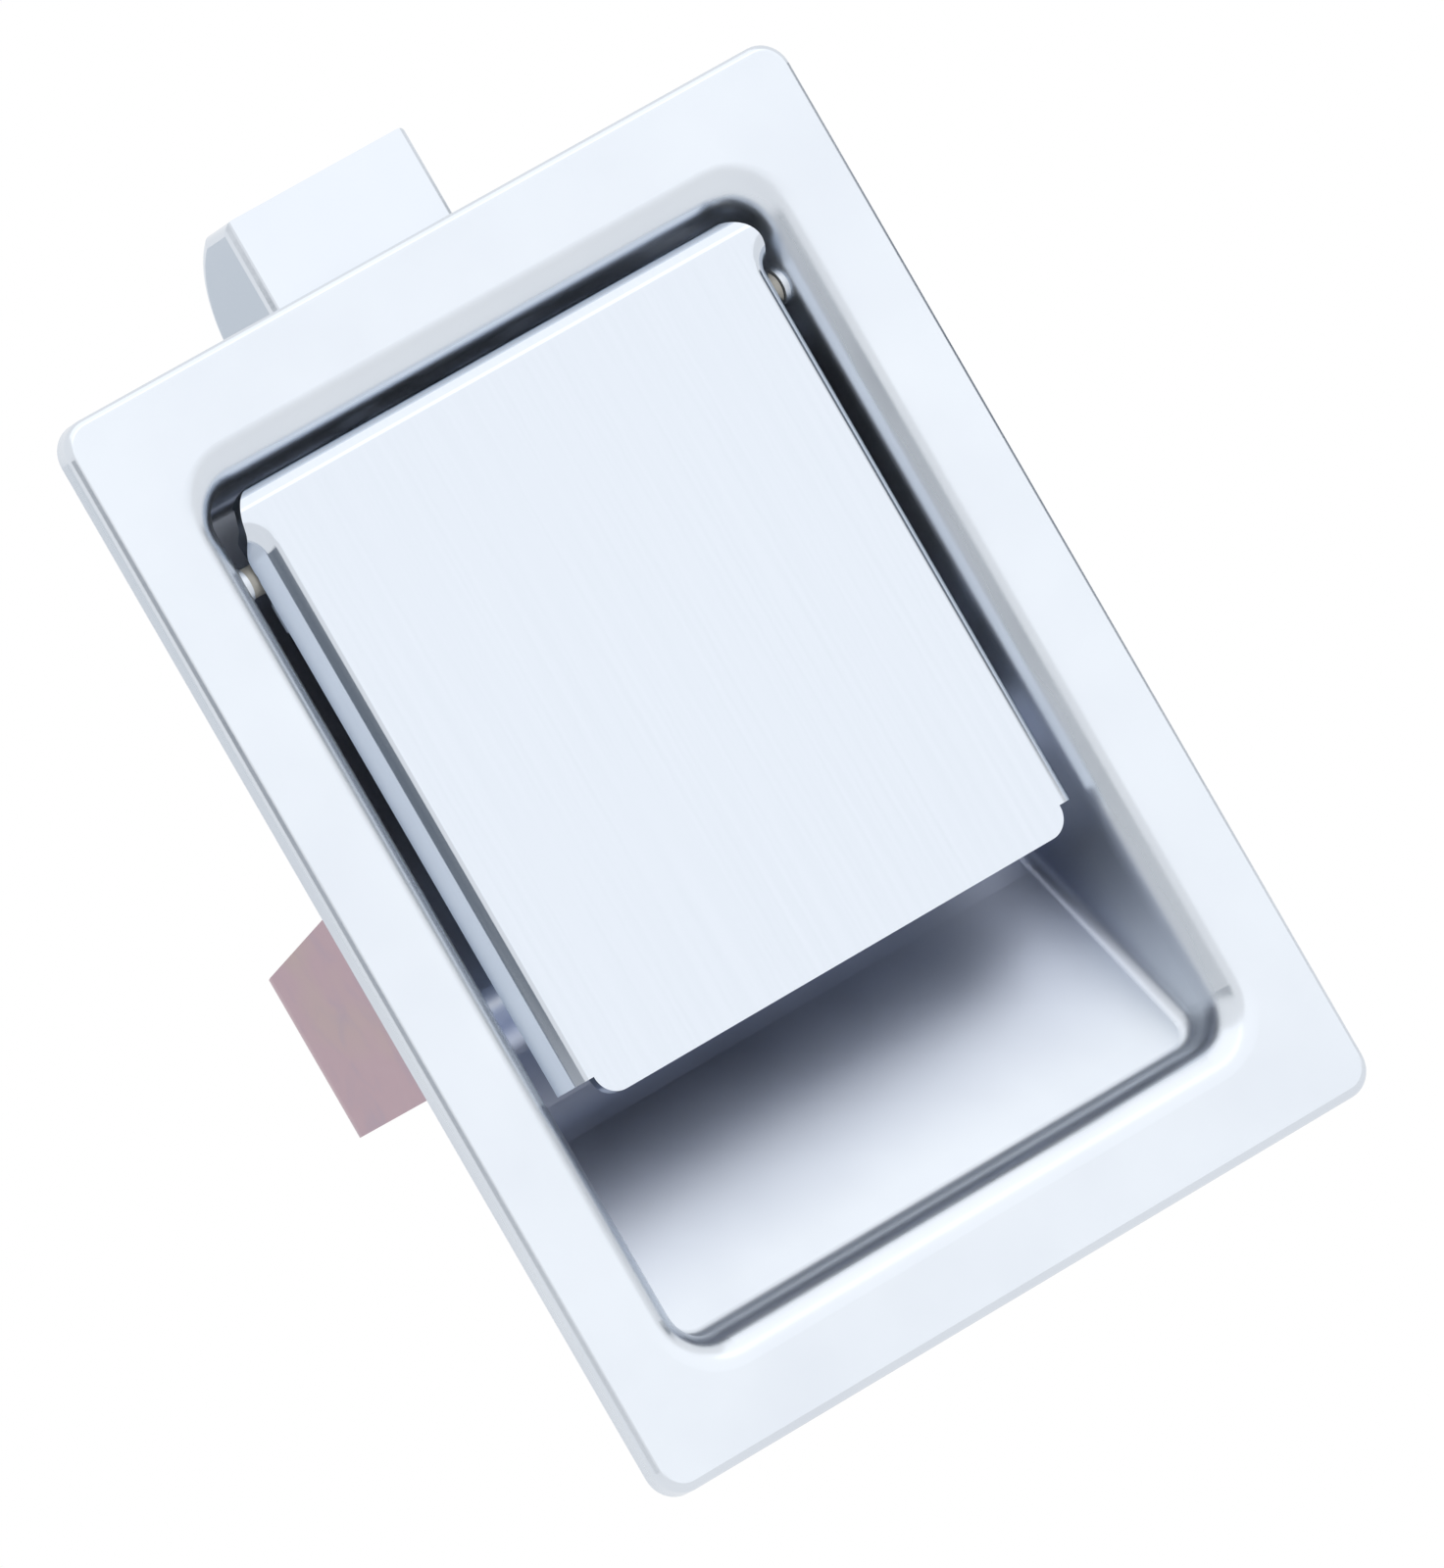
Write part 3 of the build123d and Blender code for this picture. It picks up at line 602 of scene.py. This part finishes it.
middle = (cadLow + cadHigh) / 2
for name, box in softBoxes.items():
    lamp = bpy.data.lights.new(name, "AREA")
    lamp.shape = "SQUARE"
    lamp.size = box["size"]
    lamp.energy = box["power"]
    holder = bpy.data.objects.new(name, lamp)
    bpy.context.collection.objects.link(holder)
    holder.matrix_world = Matrix.Translation(box["place"]) @ aimAt(box["place"], middle)
    holder.visible_camera = False

for name, board in cards.items():
    cardMaterial, tree, shader = newMaterial(name + "Paper")
    tree.nodes.remove(shader)
    glow = addNode(tree, "Emission", {"Color": linearColour(board["colour"]), "Strength": 1.0})
    tree.links.new(glow.outputs[0], tree.nodes["Material Output"].inputs["Surface"])
    cardMesh = bpy.data.meshes.new(name)
    wide, tall = board["size"][0] / 2, board["size"][1] / 2
    cardMesh.from_pydata(
        [(-wide, -tall, 0), (wide, -tall, 0), (wide, tall, 0), (-wide, tall, 0)], [], [(0, 1, 2, 3)]
    )
    cardMesh.materials.append(cardMaterial)
    card = bpy.data.objects.new(name, cardMesh)
    bpy.context.collection.objects.link(card)
    card.matrix_world = Matrix.Translation(board["place"]) @ aimAt(board["place"], middle)
    card.visible_camera = False
    card.visible_diffuse = False
    card.visible_shadow = False

floorMaterial, tree, shader = newMaterial("paleFloorPaint")
shader.inputs["Base Color"].default_value = linearColour(studio["floorColour"])
shader.inputs["Roughness"].default_value = studio["floorRoughness"]
path = addNode(tree, "LightPath").outputs
seen = addNode(tree, "Math", {0: path["Is Glossy Ray"], 1: path["Is Transmission Ray"]}, operation="MAXIMUM")
glow = addNode(tree, "Emission", {"Color": linearColour(studio["white"]), "Strength": 1.0})
both = addNode(tree, "MixShader", {0: seen.outputs[0], 1: shader.outputs[0], 2: glow.outputs[0]})
tree.links.new(both.outputs[0], tree.nodes["Material Output"].inputs["Surface"])
bpy.ops.mesh.primitive_circle_add(
    vertices=studio["floorSides"],
    radius=studio["floorRadius"],
    fill_type="NGON",
    location=(0, 0, studio["floorZ"]),
)
floor = bpy.context.object
floor.name = "floor"
floor.data.materials.append(floorMaterial)
print("studio:", len(softBoxes), "soft boxes,", len(cards), "cards, one floor")

# Camera: a long lens from the latch's left, at its own height, rolled as in the picture
photoView = {
    "imagePx": (1473, 1600),
    "flangeCentrePx": (739, 776),  # where the middle of the flange's face lands
    "pxPerMm": 11.14,
    "azimuth": -26.0,
    "elevation": 0.0,
    "roll": 30.0,
    "distance": 1.8,
    "sensorMm": 36.0,  # along the picture's longer side
    "farLimit": 20.0,
}
azimuth, elevation, roll = (math.radians(photoView[k]) for k in ("azimuth", "elevation", "roll"))
towardsCamera = Vector((
    math.sin(azimuth) * math.cos(elevation), -math.cos(azimuth) * math.cos(elevation), math.sin(elevation),
))
levelRight = Vector((math.cos(azimuth), math.sin(azimuth), 0))
levelUp = towardsCamera.cross(levelRight)
imageRight = levelRight * math.cos(roll) - levelUp * math.sin(roll)
imageUp = levelRight * math.sin(roll) + levelUp * math.cos(roll)
panLow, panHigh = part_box("pan")
flangeCentre = Vector((0, panLow.y, (panLow.z + panHigh.z) / 2))
metrePerPx = 0.001 / photoView["pxPerMm"]
offsetRight = (photoView["imagePx"][0] / 2 - photoView["flangeCentrePx"][0]) * metrePerPx
offsetUp = (photoView["flangeCentrePx"][1] - photoView["imagePx"][1] / 2) * metrePerPx
aim = flangeCentre + imageRight * offsetRight + imageUp * offsetUp
eye = aim + towardsCamera * photoView["distance"]
lens = bpy.data.cameras.new("longLens")
lens.sensor_width = photoView["sensorMm"]
lens.lens = photoView["sensorMm"] * photoView["distance"] / (photoView["imagePx"][1] * metrePerPx)
lens.clip_end = photoView["farLimit"]
camera = bpy.data.objects.new("camera", lens)
bpy.context.collection.objects.link(camera)
camera.matrix_world = Matrix((
    (imageRight.x, imageUp.x, towardsCamera.x, eye.x),
    (imageRight.y, imageUp.y, towardsCamera.y, eye.y),
    (imageRight.z, imageUp.z, towardsCamera.z, eye.z),
    (0, 0, 0, 1),
))
scene = bpy.context.scene
scene.camera = camera
scene.view_settings.view_transform = "Standard"
print("camera:", round(lens.lens), "mm lens at", photoView["distance"], "m")
